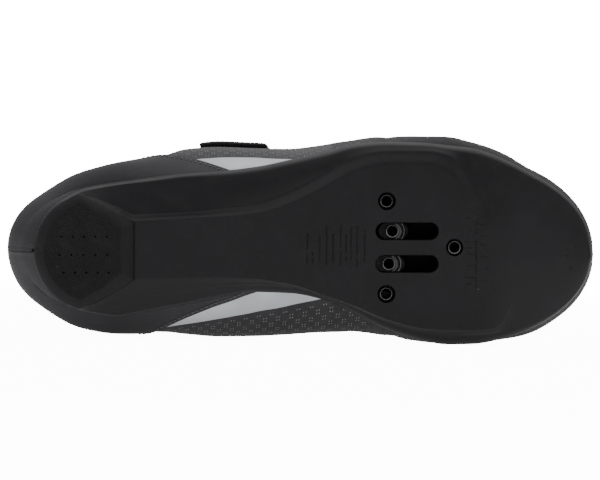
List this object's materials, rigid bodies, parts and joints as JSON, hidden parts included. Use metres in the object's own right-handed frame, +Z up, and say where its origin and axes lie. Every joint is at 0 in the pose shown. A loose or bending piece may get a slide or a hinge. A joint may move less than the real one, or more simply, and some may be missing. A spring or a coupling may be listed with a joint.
{
  "type": "cycling shoe",
  "caption": "Low road cycling shoe with a stiff drilled sole, heel pad, moulded heel counter and hook-and-loop straps, lying on its side.",
  "frame": {"origin": "centre of the bounding box's base, on the floor that the shoe lies on", "axes": "+X from heel to toe, +Z up, -Y the way the sole faces; the shoe lies on its medial side"},
  "size_m": [0.2904, 0.1072, 0.1023],
  "materials": {
    "upper_microfibre": "synthetic microfibre leather, matt",
    "tongue_fabric": "padded textile",
    "insole_foam": "textile over foam",
    "sole_nylon": "glass-filled nylon, satin",
    "pad_rubber": "matt",
    "counter_shell": "smooth, satin",
    "insert_steel": "blackened",
    "strap_microfibre": "synthetic microfibre leather, matt"
  },
  "bodies": {
    "root": {"upper": "upper_microfibre", "tongue": "tongue_fabric", "insole": "insole_foam", "outsole": "sole_nylon", "heel_pad": "pad_rubber", "heel_counter": "counter_shell", "cleat_insert_front": "insert_steel", "cleat_insert_rear_medial": "insert_steel", "cleat_insert_rear_lateral": "insert_steel", "slot_nut_medial": "insert_steel", "slot_nut_lateral": "insert_steel", "instep_strap": "strap_microfibre", "middle_strap": "strap_microfibre", "toe_strap": "strap_microfibre"}
  },
  "joints": []
}
